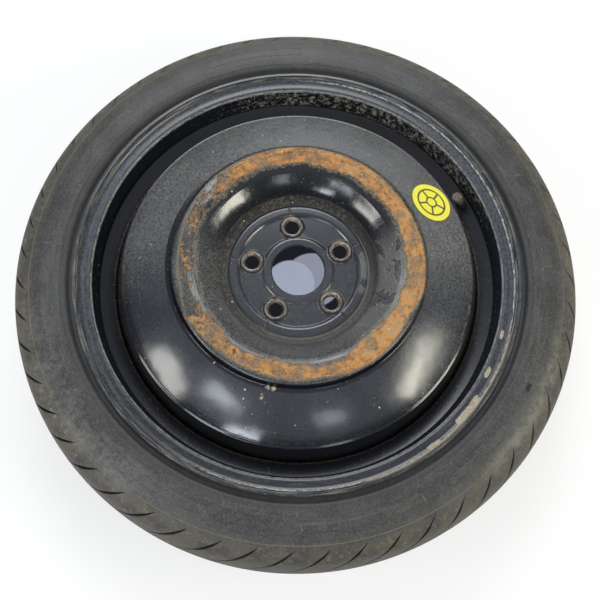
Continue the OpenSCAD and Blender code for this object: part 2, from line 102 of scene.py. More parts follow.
def set_light():
    scene.view_settings.view_transform = "Standard"
    world = bpy.data.worlds.new("studio")
    scene.world = world
    world.use_nodes = True
    nt = world.node_tree
    nt.nodes.clear()
    out = nt.nodes.new("ShaderNodeOutputWorld")
    # a dark room below and a pale ceiling above
    way = nt.nodes.new("ShaderNodeTexCoord")
    parts = nt.nodes.new("ShaderNodeSeparateXYZ")
    rise = nt.nodes.new("ShaderNodeMapRange")
    rise.interpolation_type = "SMOOTHSTEP"
    for end, value in (("From Min", 0.35), ("From Max", 0.95), ("To Min", 0.07), ("To Max", 0.5)):
        rise.inputs[end].default_value = value
    soft = nt.nodes.new("ShaderNodeBackground")
    soft.inputs["Color"].default_value = (0.92, 0.96, 1.0, 1)
    white = nt.nodes.new("ShaderNodeBackground")
    white.inputs["Color"].default_value = (1, 1, 1, 1)
    path = nt.nodes.new("ShaderNodeLightPath")
    mix = nt.nodes.new("ShaderNodeMixShader")
    nt.links.new(way.outputs["Generated"], parts.inputs[0])
    nt.links.new(parts.outputs["Z"], rise.inputs["Value"])
    nt.links.new(rise.outputs["Result"], soft.inputs["Strength"])
    nt.links.new(path.outputs["Is Camera Ray"], mix.inputs[0])
    nt.links.new(soft.outputs[0], mix.inputs[1])
    nt.links.new(white.outputs[0], mix.inputs[2])
    nt.links.new(mix.outputs[0], out.inputs[0])
    # each box is mirrored in the paint where the photo has a highlight
    cool = (0.86, 0.92, 1.0)
    lamp("overhead", 95, 47, 1.9, 0.95, 21, (0.97, 0.985, 1.0))
    lamp("left_box", 199, 33, 1.3, 0.52, 4.8, (1.0, 0.995, 0.95), (-0.137, -0.11, 0.014), 0.26)
    lamp("lower_left_box", 228, 47, 1.3, 0.36, 2.6, cool, (-0.077, -0.132, 0.025), 0.2)
    lamp("front_box", 246, 33, 1.3, 0.34, 2.6, cool, (-0.052, -0.169, 0.014), 0.14)
    lamp("near_box", 290, 47, 1.3, 0.24, 0.9, cool, (0.03, -0.153, 0.023), 0.2)
    lamp("right_box", 343, 37, 1.3, 0.72, 9.0, (1.0, 0.97, 0.82), (0.136, -0.099, 0.018), 0.22)
    lamp("back_strip", 75, 20, 1.5, 1.3, 3.2, (0.85, 0.92, 1.0), (0, 0.18, 0.01), 0.12)


def to_object(name, bm):
    mesh = bpy.data.meshes.new(name)
    bm.to_mesh(mesh)
    bm.free()
    obj = bpy.data.objects.new(name, mesh)
    scene.collection.objects.link(obj)
    return obj


# Floor, in mm: the radii between which the wheel's shade ends, and the x, y, radius and level of
# the pools of light that fall through the centre bore
SHADE_IN, SHADE_OUT = 225.0, 285.0
POOLS = ((-7.0, 22.0, 30.0, 1.0), (20.0, 27.0, 35.0, 0.72))


def set_floor(z):
    """A white floor that the camera sees lit up, apart from the shade inside the wheel."""
    bm = bmesh.new()
    bmesh.ops.create_grid(bm, x_segments=1, y_segments=1, size=6.0)
    floor = to_object("floor", bm)
    floor.location = (0, 0, z)
    n = Net("floor", (0.9, 0.9, 0.9), 1.0)
    outside = n.step(n.r, SHADE_IN, SHADE_OUT)
    lit = None
    for x, y, size, level in POOLS:
        dx, dy = n.x - x, n.y - y
        pool = n.step(n.math("SQRT", dx * dx + dy * dy), size + 1.2, size - 1.2) * level
        lit = pool if lit is None else n.math("MAXIMUM", lit, pool)
    sky = n.noise(16, 2, 0.5, seed=3.0) * 0.16 + 0.92
    out = n.add("ShaderNodeOutputMaterial")
    flat = n.add("ShaderNodeBsdfDiffuse")
    flat.inputs["Color"].default_value = (0.9, 0.9, 0.9, 1)
    glow = n.add("ShaderNodeEmission")
    n.put(glow.inputs["Color"], n.mix(outside, (0.34, 0.37, 0.47), (1.0, 1.0, 1.0)))
    n.put(glow.inputs["Strength"], outside + (1.0 - outside) * (lit * sky + 0.035))
    share = n.add("ShaderNodeMixShader")
    camera = Sock(n, n.add("ShaderNodeLightPath").outputs["Is Camera Ray"])
    n.put(share.inputs[0], camera * (outside * -0.38 + 1.0))
    n.tree.links.new(flat.outputs[0], share.inputs[1])
    n.tree.links.new(glow.outputs[0], share.inputs[2])
    # seen from below, the floor is clear
    under = n.add("ShaderNodeMixShader")
    n.tree.links.new(n.add("ShaderNodeNewGeometry").outputs["Backfacing"], under.inputs[0])
    n.tree.links.new(share.outputs[0], under.inputs[1])
    n.tree.links.new(n.add("ShaderNodeBsdfTransparent").outputs[0], under.inputs[2])
    n.tree.links.new(under.outputs[0], out.inputs[0])
    floor.data.materials.append(n.mat)


# Material helper
class Sock:
    """A node's output that takes part in plain sums."""

    def __init__(self, net, out):
        self.net, self.out = net, out

    def __add__(self, other):
        return self.net.math("ADD", self, other)

    def __radd__(self, other):
        return self.net.math("ADD", other, self)

    def __sub__(self, other):
        return self.net.math("SUBTRACT", self, other)

    def __rsub__(self, other):
        return self.net.math("SUBTRACT", other, self)

    def __mul__(self, other):
        return self.net.math("MULTIPLY", self, other)

    def __rmul__(self, other):
        return self.net.math("MULTIPLY", other, self)

    def __truediv__(self, other):
        return self.net.math("DIVIDE", self, other)


class Net:
    """One procedural material, laid on in coats. Sizes are in millimetres."""

    def __init__(self, name, colour, rough, metal=0.0):
        self.mat = bpy.data.materials.new(name)
        self.mat.use_nodes = True
        self.tree = self.mat.node_tree
        self.tree.nodes.clear()
        coord = self.add("ShaderNodeTexCoord").outputs["Object"]
        scale = self.add("ShaderNodeVectorMath", operation="SCALE")
        self.tree.links.new(coord, scale.inputs[0])
        scale.inputs["Scale"].default_value = 1.0 / MM
        self.p = scale.outputs[0]
        parts = self.add("ShaderNodeSeparateXYZ")
        self.tree.links.new(self.p, parts.inputs[0])
        self.x, self.y, self.z = (Sock(self, parts.outputs[i]) for i in range(3))
        self.r = self.math("SQRT", self.x * self.x + self.y * self.y)
        self.colour, self.rough, self.metal = colour, rough, metal
        self.height = None

    def add(self, kind, **props):
        node = self.tree.nodes.new(kind)
        for k, v in props.items():
            setattr(node, k, v)
        return node

    def put(self, socket, value):
        if isinstance(value, Sock):
            self.tree.links.new(value.out, socket)
        elif isinstance(value, bpy.types.NodeSocket):
            self.tree.links.new(value, socket)
        elif isinstance(value, tuple) and len(value) == 3 and socket.type == "RGBA":
            socket.default_value = (*value, 1)
        else:
            socket.default_value = value

    def math(self, op, a, b=None):
        n = self.add("ShaderNodeMath", operation=op)
        self.put(n.inputs[0], a)
        if b is not None:
            self.put(n.inputs[1], b)
        return Sock(self, n.outputs[0])

    def step(self, v, lo, hi):
        """0 below lo, 1 above hi, smooth between. Where lo is the larger it falls from 1 to 0."""
        n = self.add("ShaderNodeMapRange", interpolation_type="SMOOTHSTEP")
        self.put(n.inputs["Value"], v)
        n.inputs["From Min"].default_value = min(lo, hi)
        n.inputs["From Max"].default_value = max(lo, hi)
        n.inputs["To Min"].default_value = 0.0 if lo < hi else 1.0
        n.inputs["To Max"].default_value = 1.0 if lo < hi else 0.0
        return Sock(self, n.outputs["Result"])

    def band(self, v, lo, hi, fade):
        """1 from lo to hi, fading out over 2 * fade at each of them."""
        return self.step(v, lo - fade, lo + fade) * self.step(v, hi + fade, hi - fade)

    def lobe(self, centre, full, fade):
        """1 within full degrees of an angle round the axis, 0 past fade degrees."""
        a = math.radians(centre)
        toward = (self.x * math.cos(a) + self.y * math.sin(a)) / self.r
        return self.step(toward, math.cos(math.radians(fade)), math.cos(math.radians(full)))

    def vec(self, x, y, z):
        n = self.add("ShaderNodeCombineXYZ")
        for i, v in enumerate((x, y, z)):
            self.put(n.inputs[i], v)
        return n.outputs[0]

    def round_about(self, along, across):
        """Coordinates for marks drawn out round the axis: sizes along and across, in mm at r = 200."""
        k = 200.0 / along
        return self.vec(self.x / self.r * k, self.y / self.r * k, (self.r + self.z * 0.7) / across)

    def noise(self, size, detail=3.0, rough=0.55, vec=None, seed=0.0):
        """Noise with grains of about this size in mm, or in the coordinates of vec."""
        n = self.add("ShaderNodeTexNoise", noise_dimensions="4D")
        self.put(n.inputs["Vector"], vec if vec is not None else self.p)
        n.inputs["Scale"].default_value = 1.0 if vec is not None else 1.0 / size
        n.inputs["Detail"].default_value = detail
        n.inputs["Roughness"].default_value = rough
        n.inputs["W"].default_value = seed
        return Sock(self, n.outputs["Fac"])

    def specks(self, size, amount, seed):
        """Small spots: amount is the share of a cell's half width that a spot fills."""
        n = self.add("ShaderNodeTexVoronoi", voronoi_dimensions="4D")
        self.put(n.inputs["Vector"], self.p)
        n.inputs["Scale"].default_value = 1.0 / size
        n.inputs["W"].default_value = seed
        return self.step(Sock(self, n.outputs["Distance"]), amount, amount * 0.6)

    def mix(self, fac, a, b):
        n = self.add("ShaderNodeMix", data_type="RGBA")
        self.put(n.inputs[0], fac)
        self.put(n.inputs[6], a)
        self.put(n.inputs[7], b)
        return Sock(self, n.outputs[2])

    def blend(self, fac, a, b):
        n = self.add("ShaderNodeMix", data_type="FLOAT")
        self.put(n.inputs[0], fac)
        self.put(n.inputs[2], a)
        self.put(n.inputs[3], b)
        return Sock(self, n.outputs[0])

    def coat(self, mask, colour, rough=None, metal=None):
        """Lays a coat over the ones so far, where the mask is up."""
        self.colour = self.mix(mask, self.colour, colour)
        if rough is not None:
            self.rough = self.blend(mask, self.rough, rough)
        if metal is not None:
            self.metal = self.blend(mask, self.metal, metal)

    def raise_by(self, h):
        """Adds to the relief, in mm."""
        self.height = h if self.height is None else self.height + h

    def ramp(self, fac, stops):
        n = self.add("ShaderNodeValToRGB")
        self.put(n.inputs[0], fac)
        el = n.color_ramp.elements
        while len(el) > 1:
            el.remove(el[0])
        el[0].position, el[0].color = stops[0][0], (*stops[0][1], 1)
        for pos, col in stops[1:]:
            el.new(pos).color = (*col, 1)
        return Sock(self, n.outputs[0])

    def table_by_angle(self, pairs):
        """A value given at angles round the axis, -180 to 180 degrees."""
        turn = self.math("ARCTAN2", self.y, self.x) * (0.5 / math.pi) + 0.5
        lo, hi = min(v for _, v in pairs), max(v for _, v in pairs)
        stops = [((a + 180) / 360, ((v - lo) / (hi - lo),) * 3) for a, v in pairs]
        n = self.ramp(turn, stops)
        return n * (hi - lo) + lo

    def done(self, specular=0.5, bump=1.0, soft_edge=0.0):
        """Ends the material. Corners are shaded with a radius of soft_edge, in mm."""
        out = self.add("ShaderNodeOutputMaterial")
        bsdf = self.add("ShaderNodeBsdfPrincipled")
        self.put(bsdf.inputs["Base Color"], self.colour)
        self.put(bsdf.inputs["Roughness"], self.rough)
        self.put(bsdf.inputs["Metallic"], self.metal)
        bsdf.inputs["Specular IOR Level"].default_value = specular
        if self.height is not None:
            n = self.add("ShaderNodeBump")
            n.inputs["Strength"].default_value = bump
            n.inputs["Distance"].default_value = MM
            self.put(n.inputs["Height"], self.height)
            if soft_edge:
                edge = self.add("ShaderNodeBevel", samples=4)
                edge.inputs["Radius"].default_value = soft_edge * MM
                self.tree.links.new(edge.outputs[0], n.inputs["Normal"])
            self.tree.links.new(n.outputs[0], bsdf.inputs["Normal"])
        self.tree.links.new(bsdf.outputs[0], out.inputs[0])
        return self.mat


# Materials
DUST = (0.15, 0.15, 0.147)
BLACK = (0.0065, 0.0075, 0.0115)
BOLTS, BOLT_SPIN, BOLT_R = 5, 26.2, 50.0
# Radii on the disc, in mm: the hub's edge, the ridge's foot, the dome's outer edge, and the dome's
# middle with half its width
HUB_R, FOOT_R, DOME_R, DOME_MID, DOME_HALF = 75.0, 132.0, 184.0, 159.0, 25.0
# Relief that is only shaded, in mm: the dome's crown, and the bowl's wall easing into the ridge
CROWNED, EASED = 1.6, 8.0


def total(parts):
    """The sum of several masks."""
    out = parts[0]
    for part in parts[1:]:
        out = out + part
    return out


def bolt_distances(n):
    """The distance from each bolt hole's axis, in mm."""
    for i in range(BOLTS):
        a = math.radians(BOLT_SPIN + 360 / BOLTS * i)
        dx, dy = n.x - BOLT_R * math.cos(a), n.y - BOLT_R * math.sin(a)
        yield n.math("SQRT", dx * dx + dy * dy)


def disc_paint():
    n = Net("disc_paint", BLACK, 0.15)
    grain = n.noise(2.3, 5, 0.82)
    fine = n.step(grain, 0.41, 0.6)
    cloud = n.noise(30, 4, 0.6, seed=2.0)
    blotch = n.noise(8, 4, 0.65, seed=5.0)
    crumb = n.noise(1.8, 4, 0.85, seed=21.0)
    dome = n.step(n.r, FOOT_R - 4, FOOT_R + 4)
    hub = n.step(n.r, HUB_R + 1, HUB_R - 1)
    # dust film: thick on the upper dome, thin on the glossy lower half and on the bowl's far side
    on_dome = n.step(n.y, -55.0, 40.0) * 0.74 + n.lobe(4, 25, 58) * 0.2 + 0.03
    in_bowl = n.lobe(270, 84, 124) * (n.step(n.r, 112.0, 98.0) * 0.34 + 0.34) + 0.06
    film = dome * on_dome + (1.0 - dome) * (1.0 - hub * 0.75) * in_bowl
    # a thin bluish coat on the dome: partly film, partly painted sheen
    haze_and_sheen = dome * (cloud * 0.6 + 0.2) * n.step(n.r, DOME_R, DOME_R - 10) * (fine * 0.5 + 0.75)
    n.coat(haze_and_sheen, (0.048, 0.054, 0.068), 0.24)
    film = film * (cloud * 0.5 + 0.5) * (fine * 1.05 + 0.4)
    n.coat(n.math("MINIMUM", film, 1.0), DUST, 0.6)
    n.coat(n.step(blotch, 0.52, 0.66) * film * 0.4, (0.2, 0.185, 0.155), 0.7)
    # painted shadow: a black band at the ridge's foot on the lower side
    n.coat(n.band(n.r, 129.8, 137.0, 0.7) * n.lobe(235, 70, 105) * 0.92, BLACK, 0.14)
    # rust round the ridge: the radii of its two edges at angles round the axis
    inner = n.table_by_angle([
        (-180, 106), (-164, 104), (-150, 110.6), (-135.5, 105), (-123.5, 112), (-106, 109),
        (-90, 110.7), (-79, 112.7), (-67.7, 113), (-50.6, 103.8), (-28.9, 107.6), (-13, 110.6),
        (20, 109.5), (55, 108), (91, 109), (138, 108), (173, 109), (180, 106),
    ])
    outer = n.table_by_angle([
        (-180, 122), (-164, 122), (-150, 128), (-135.5, 124), (-106, 124), (-90, 125),
        (-79, 124), (-67.7, 127.5), (-50.6, 128), (-28.9, 124.5), (-13, 131), (20, 127),
        (55, 127), (91, 128), (138, 126), (173, 122), (180, 122),
    ])
    coarse = n.noise(22, 3, 0.6, seed=13.0) - 0.5
    ragged = (n.noise(7, 5, 0.72, seed=9.0) - 0.5) * 12.0 + coarse * 11.0
    streak = n.noise(0, 4, 0.7, vec=n.round_about(26, 2.0), seed=4.0)
    patchy = n.lobe(168, 26, 50) * 0.16 + n.lobe(226, 24, 46) * 0.06
    holes = n.step(n.noise(9.0, 5, 0.7, seed=4.0) * 0.6 + streak * 0.4 + patchy, 0.615, 0.66)
    from_inner = n.r - inner + ragged
    to_outer = outer - n.r + ragged * 0.4
    rust = n.step(from_inner, -0.8, 1.0) * n.step(to_outer, -1.2, 0.8) * (1.0 - holes)
    hue = n.noise(8.0, 5, 0.72, seed=11.0) * 0.5 + streak * 0.28 + n.noise(3.0, 4, 0.75, seed=15.0) * 0.22
    warm = n.lobe(10, 50, 90) * 0.03 + n.lobe(290, 40, 70) * 0.015
    tone = n.ramp(hue + warm, [
        (0.39, (0.05, 0.033, 0.022)), (0.44, (0.15, 0.085, 0.042)), (0.485, (0.28, 0.14, 0.055)),
        (0.52, (0.44, 0.19, 0.045)), (0.55, (0.5, 0.25, 0.075)), (0.6, (0.36, 0.25, 0.13)),
        (0.66, (0.26, 0.2, 0.13)),
    ])
    # older rust is dull and brown
    old = n.noise(15.0, 4, 0.62, seed=61.0)
    dull = n.mix(n.step(crumb, 0.4, 0.58), (0.085, 0.058, 0.035), (0.27, 0.2, 0.125))
    tone = n.mix(n.step(old + n.lobe(200, 60, 100) * 0.04, 0.48, 0.6) * 0.72, tone, dull)
    n.coat(rust * 0.96, tone, 0.85)
    rim_of_rust = n.band(from_inner, -3.2, 0.8, 1.2) + n.band(to_outer, -2.2, 0.6, 0.8)
    n.coat(rim_of_rust * n.step(crumb, 0.42, 0.56) * 0.55, (0.24, 0.2, 0.13), 0.85)
    n.raise_by(rust * (hue * 0.6 + 0.12))
    # the hub: slate pads and ring; round them the valley is near black, darker towards the top, with crumbs
    n.coat(hub * (grain * 0.2 + cloud * 0.2 + 0.14), (0.06, 0.067, 0.085), 0.19)
    valley = n.band(n.r, 76.2, 85.0, 1.2)
    n.coat(valley * (n.lobe(110, 100, 150) * 0.5 + 0.4) * (blotch * 0.5 + 0.6), (0.014, 0.0125, 0.011), 0.85)
    lump = n.noise(3.4, 5, 0.85, seed=71.0)
    n.coat(valley * n.step(lump + n.lobe(125, 70, 120) * 0.07, 0.58, 0.65) * 0.62, (0.2, 0.17, 0.125), 0.9)
    n.raise_by(valley * (crumb - 0.4) * 0.9)
    wander = (n.noise(14, 3, 0.6, seed=27.0) - 0.5) * 2.2
    line = n.band(n.r + wander, 74.6, 76.2, 0.4) * n.lobe(-48, 60, 108)
    n.coat(line * (crumb * 0.9 + 0.2), (0.28, 0.235, 0.16), 0.8)
    smear = n.lobe(-2, 14, 22) * n.step(n.r, 66.5, 67.5) * hub
    n.coat(smear * n.step(blotch, 0.4, 0.5) * 0.55, (0.17, 0.165, 0.15), 0.8)
    # a dried tide line of dust on the bowl's right side
    tide = n.noise(26, 4, 0.6, seed=33.0)
    right_bowl = n.band(n.r, 86.0, 107.0, 2.0) * n.lobe(-18, 26, 44)
    n.coat(right_bowl * n.step(tide, 0.49, 0.5) * 0.35, (0.2, 0.197, 0.19), 0.7)
    n.coat(right_bowl * n.band(tide, 0.486, 0.496, 0.004) * 0.6, (0.34, 0.33, 0.31), 0.7)
    # dirt along the dome's edges
    foot = n.band(n.r, 131.0, 133.6, 0.6) * n.step(crumb, 0.45, 0.6) * n.lobe(100, 60, 110)
    n.coat(foot * 0.6, (0.13, 0.115, 0.09), 0.9)
    edge = n.band(n.z, 8.0, 18.0, 3.0) * n.step(n.r, 181.0, 184.0)
    caked = edge * n.step(n.noise(3.5, 4, 0.8, seed=8.0), 0.48, 0.58)
    n.coat(caked * (n.lobe(60, 60, 100) * 0.5 + 0.1), (0.15, 0.13, 0.1), 0.9)
    # fine lines round the lower dome, then pale and dark specks
    line = n.noise(0, 3, 0.6, vec=n.round_about(130, 1.0), seed=6.0)
    drawn = n.step(line, 0.62, 0.7) * n.lobe(272, 60, 110) * n.step(n.r, 150.0, 170.0)
    n.coat(drawn * 0.22, (0.24, 0.2, 0.12), 0.7)
    n.coat(n.specks(3.8, 0.2, 7.0) * n.step(blotch, 0.46, 0.6) * 0.6, (0.36, 0.345, 0.3), 0.8)
    n.coat(n.specks(9.5, 0.13, 3.0) * 0.85, (0.55, 0.52, 0.45), 0.8)
    n.coat(n.specks(4.4, 0.16, 9.0) * n.step(cloud, 0.42, 0.6) * dome * 0.6, (0.015, 0.015, 0.017), 0.6)
    # a dry scrap at the ridge's foot
    bit = n.noise(3.4, 5, 0.85, seed=51.0)
    mark = n.lobe(-101, 0.4, 3.6) * n.band(n.r, 132.5, 137.0, 3.0)
    mark = mark + n.lobe(-104, 0.2, 1.2) * n.band(n.r, 140.0, 148.0, 3.0) * 0.8
    n.coat(n.step(mark * 0.26 + bit, 0.68, 0.73), (0.42, 0.35, 0.23), 0.9)
    # the dome's shoulder is clean and near black, with a painted bluish reflection towards the top, and a
    # thin bead
    shoulder = n.step(n.r, 184.5, 186.0)
    n.coat(shoulder * 0.85, n.mix(n.lobe(90, 50, 100), (0.006, 0.0065, 0.009), (0.009, 0.012, 0.026)), 0.13)
    n.raise_by(n.band(n.r, 185.6, 188.6, 1.6) * n.lobe(92, 50, 88) * 1.5)
    # the dome is slightly crowned, and the bowl's wall eases out towards the ridge
    crown = (n.r - DOME_MID) / DOME_HALF
    n.raise_by(n.band(n.r, 132.0, 187.0, 2.0) * crown * crown * -CROWNED)
    n.raise_by(n.step(n.r, 86.0, 109.0) * n.lobe(90, 85, 150) * -EASED)
    dent = n.noise(52, 2, 0.45, seed=41.0)
    n.raise_by((dent - 0.5) * 1.5 * n.step(n.r, 86.0, 92.0))
    n.raise_by((grain - 0.5) * 0.05 * (film + 0.06) + (blotch - 0.5) * 0.03)
    # worn conical seats with dusty collars
    seats, collars = [], []
    for near in bolt_distances(n):
        seats.append(n.band(near, 7.2, 9.9, 0.3))
        close = n.band(near + wander * 0.5, 10.2, 11.6, 0.4)
        collars.append(close + n.band(near - wander * 0.6, 13.4, 14.6, 0.4) * 0.8)
    n.coat(total(collars) * n.step(crumb * 0.4 + blotch * 0.6, 0.44, 0.58) * 0.7, (0.3, 0.26, 0.19), 0.7)
    worn_tones = [(0.35, (0.14, 0.08, 0.05)), (0.46, (0.4, 0.29, 0.21)), (0.58, (0.75, 0.7, 0.64))]
    bare = n.ramp(n.noise(2.0, 4, 0.7, seed=14.0), worn_tones)
    n.coat(total(seats) * n.step(n.z, 2.6, 3.0), bare, 0.3, 0.85)
    return n.done(specular=0.6, bump=1.0, soft_edge=1.2)


# Chipped spots on the flange: degrees round the axis, full and faded half widths, radii, their fade
FLAKES = (
    (318.5, 3.0, 6.2, 221.5, 229.0, 2.4),
    (330, 0.8, 2.6, 218.5, 223.5, 2.0),
    (341, 0.4, 2.2, 218.5, 223.0, 2.0),
    (306, 1.0, 3.2, 223.5, 229.0, 2.0),
)


def rim_paint():
    n = Net("rim_paint", BLACK, 0.2)
    grain = n.noise(1.0, 4, 0.75)
    cloud = n.noise(22, 3, 0.6, seed=2.0)
    chip = n.noise(5.5, 5, 0.75, seed=12.0)
    crumb = n.noise(2.0, 5, 0.88, seed=6.0)
    along = n.noise(0, 4, 0.8, vec=n.round_about(4.2, 1.6), seed=7.0)
    trail = n.noise(0, 4, 0.7, vec=n.round_about(24, 2.4), seed=5.0)
    face = n.step(n.z, 12.4, 13.6)
    upper = n.step(n.y, -200.0, -40.0)
    grit = n.step(n.noise(2.6, 5, 0.8, seed=31.0), 0.38, 0.62)
    film = face * (upper * 0.24 + 0.2) + (1.0 - face) * (n.lobe(0, 30, 60) * 0.06 + 0.04)
    n.coat(film * (cloud * 0.5 + 0.7) * (grit * 0.9 + 0.5), (0.1, 0.11, 0.135), 0.45)
    n.coat(face * n.step(trail, 0.52, 0.68) * 0.35, (0.14, 0.13, 0.11), 0.7)
    # crumbs of dirt on the bead seat's wall and in the well
    lump = n.noise(5.6, 6, 0.9, seed=16.0)
    wall = n.band(n.z, -8.5, 13.0, 1.2) * n.step(n.r, 212.0, 213.4) * n.step(n.r, 217.2, 216.2)
    share = n.lobe(66, 26, 62) * 0.1
    n.coat(wall * n.step(lump + share, 0.635, 0.66), (0.8, 0.73, 0.56), 0.95)
    n.coat(wall * n.step(lump + share, 0.59, 0.635) * 0.6, (0.06, 0.052, 0.04), 0.95)
    n.raise_by(wall * (crumb - 0.4) * 1.1)
    well = n.step(n.z, -7.0, -10.0) * n.step(n.r, 214.0, 212.0)
    n.coat(well * n.step(n.noise(6, 4, 0.7, seed=19.0), 0.6, 0.68) * 0.2, (0.08, 0.075, 0.065), 0.9)
    seam = n.band(n.r, 198.2, 200.2, 0.4) * n.step(crumb, 0.44, 0.56)
    n.coat(seam * (n.lobe(80, 60, 110) * 0.4 + 0.4), (0.2, 0.17, 0.11), 0.9)
    # bright wear along the corners of the flange; the broken line at the inner corner is also a painted
    # highlight
    n.coat(n.band(n.r, 215.0, 216.6, 0.3) * face * n.step(along, 0.4, 0.56) * 0.7, (0.45, 0.45, 0.42), 0.5)
    sides = n.lobe(32, 46, 62) + n.lobe(285, 26, 52)
    scratch = n.band(n.r + (trail - 0.5) * 1.6, 226.4, 227.7, 0.4) * sides
    n.coat(scratch * face * n.step(along, 0.44, 0.56), (0.56, 0.55, 0.52), 0.6)
    corner = n.band(n.r, 228.6, 229.5, 0.3) * n.step(n.z, 14.4, 15.2) * n.step(trail, 0.44, 0.6)
    n.coat(corner * 0.5, (0.45, 0.45, 0.42), 0.45)
    lip = n.step(n.z, 18.5, 22.5)
    n.coat(lip * n.step(trail * 0.6 + crumb * 0.4, 0.46, 0.6) * 0.36, (0.28, 0.255, 0.195), 0.8)
    # chipped paint: flakes with ragged borders
    rag = (chip - 0.5) * 1.5
    spots = [n.lobe(a, full, fade) * n.band(n.r, lo, hi, soft) for a, full, fade, lo, hi, soft in FLAKES]
    flakes = n.step(total(spots) + rag, 0.66, 0.74)
    torn = n.step(n.r + (along - 0.5) * 7.0 + rag * 1.6, 226.8, 227.4)
    fringe = n.lobe(314, 22, 30) * torn * n.step(n.r, 229.8, 229.0)
    bare = n.mix(n.step(crumb, 0.42, 0.6), (0.33, 0.27, 0.2), (0.56, 0.49, 0.38))
    chipped = n.math("MINIMUM", flakes + fringe, 1.0) * face
    n.coat(chipped * n.step(n.z, 22.0, 19.0), bare, 0.85)
    n.raise_by(chipped * -0.15)
    n.coat(n.specks(8.0, 0.1, 4.0) * face * n.step(chip, 0.46, 0.58) * 0.9, (0.5, 0.48, 0.43), 0.8)
    n.coat(n.specks(3.6, 0.12, 8.0) * n.step(cloud, 0.44, 0.58) * 0.5, (0.26, 0.24, 0.19), 0.8)
    n.raise_by((grain - 0.5) * 0.04 + (cloud - 0.5) * 0.05)
    return n.done(specular=0.5, bump=0.9, soft_edge=0.8)


def groove_depth(n):
    """How far a point lies below the tread's plain surface, in mm."""
    h = n.math("ABSOLUTE", n.z - MID)

    def below(centre, radius):
        dx, dy = n.r - centre.x, h - centre.y
        return radius - n.math("SQRT", dx * dx + dy * dy)

    turn = shoulder_c.y + SHOULDER * math.sin(math.radians(crown_a))
    return n.blend(n.step(h, turn - 0.4, turn + 0.4), below(crown_c, CROWN), below(shoulder_c, SHOULDER))


# Blank plates on the sidewall: degrees round the axis, half width in degrees, two radii in mm
PLATES = (
    (-76, 13, 257, 265), (-118, 9, 257, 265), (-48, 8, 258, 266), (12, 12, 256, 265),
    (58, 10, 257, 265), (102, 12, 256, 265), (146, 9, 257, 265), (186, 10, 256, 265),
    (-98, 8, 246, 251), (-60, 6, 246, 251), (32, 7, 246, 251), (80, 8, 246, 251),
    (168, 8, 246, 251),
)


def rubber():
    n = Net("tyre_rubber", (0.03, 0.0305, 0.032), 0.5)
    fine = n.noise(2.2, 5, 0.82)
    cloud = n.noise(34, 4, 0.62, seed=3.0)
    rings = n.noise(0, 3, 0.6, vec=n.round_about(110, 1.5), seed=2.0)
    tan = n.noise(16, 5, 0.72, seed=9.0)
    spot = n.noise(5.5, 4, 0.72, seed=17.0)
    n.coat(n.step(cloud, 0.36, 0.66) * 0.45 + n.step(rings, 0.4, 0.7) * 0.18, (0.074, 0.077, 0.083), 0.5)
    n.coat(n.step(fine, 0.51, 0.61) * 0.36, (0.17, 0.157, 0.128), 0.8)
    n.coat(n.step(fine, 0.49, 0.4) * 0.6, (0.016, 0.016, 0.017), 0.5)
    # brown dust towards the shoulder and in trails round the sidewall
    low = n.step(n.r, 264.0, 290.0)
    n.coat(low * (n.step(tan, 0.36, 0.6) * 0.45 + 0.12), (0.14, 0.123, 0.09), 0.9)
    trails = n.noise(0, 4, 0.74, vec=n.round_about(60, 6.0), seed=4.0)
    n.coat(n.step(trails, 0.5, 0.68) * 0.34, (0.125, 0.115, 0.09), 0.85)
    n.coat(low * n.step(spot, 0.54, 0.64) * 0.55, (0.21, 0.165, 0.1), 0.9)
    mud = n.step(spot, 0.61, 0.68) * n.step(n.r, 276.0, 286.0) * n.lobe(262, 70, 110)
    n.coat(mud * 0.7, (0.3, 0.18, 0.075), 0.9)
    # pale patches where the light catches the sidewall: painted highlights
    left = n.lobe(216, 12, 32) * n.band(n.r, 254.0, 284.0, 9.0)
    n.coat(left * n.step(cloud * 0.4 + spot * 0.6, 0.4, 0.62) * 0.2, (0.32, 0.315, 0.29), 0.45)
    right = n.lobe(328, 8, 22) * n.band(n.r, 272.0, 282.0, 7.0)
    n.coat(right * n.step(tan, 0.4, 0.58) * 0.42, (0.32, 0.3, 0.235), 0.7)
    n.coat(n.band(n.r, 275.8, 276.8, 0.35) * (rings * 0.6 + 0.2) * 0.8, (0.2, 0.17, 0.12), 0.7)
    n.coat(n.specks(9.0, 0.085, 5.0) * n.step(cloud, 0.44, 0.6) * 0.6, (0.42, 0.4, 0.34), 0.8)
    # the guard next to the rim stays darker
    n.coat(n.band(n.r, 233.0, 244.0, 1.0) * 0.5, (0.022, 0.022, 0.023), 0.5)
    # low blank plates where a tyre carries its markings
    fade = 0.25
    plate = total([
        n.lobe(a, half - fade, half + fade) * n.band(n.r, lo, hi, 0.5) for a, half, lo, hi in PLATES
    ])
    n.raise_by(plate * 0.7)
    outline = plate * (1.0 - plate) * 4.0
    n.coat(outline * n.step(fine, 0.38, 0.55) * 0.5, (0.17, 0.155, 0.12), 0.8)
    n.coat(plate * n.step(tan, 0.45, 0.6) * 0.2, (0.13, 0.125, 0.11), 0.7)
    # a small cut on the right, painted black inside as shade
    nick = n.lobe(-29.4, 0.5, 1.3) * n.band(n.r, 259.0, 262.5, 0.8)
    n.coat(nick * 0.9, (0.008, 0.008, 0.008), 0.8)
    n.raise_by(nick * -1.2)
    # painted shade: black inside the grooves
    deep = groove_depth(n)
    on_tread = n.step(n.r, 268.0, 270.0)
    inside = n.step(deep, 0.5, 1.5) * on_tread
    n.coat(inside * 0.92, (0.006, 0.006, 0.006), 0.8)
    brim = n.band(deep, 0.15, 0.6, 0.15) * on_tread * n.step(fine, 0.4, 0.6)
    n.coat(brim * 0.5, (0.26, 0.24, 0.19), 0.8)
    n.raise_by((fine - 0.5) * 0.1 + (rings - 0.5) * 0.06)
    n.raise_by((spot - 0.5) * 0.12)
    return n.done(specular=0.42, bump=0.85)


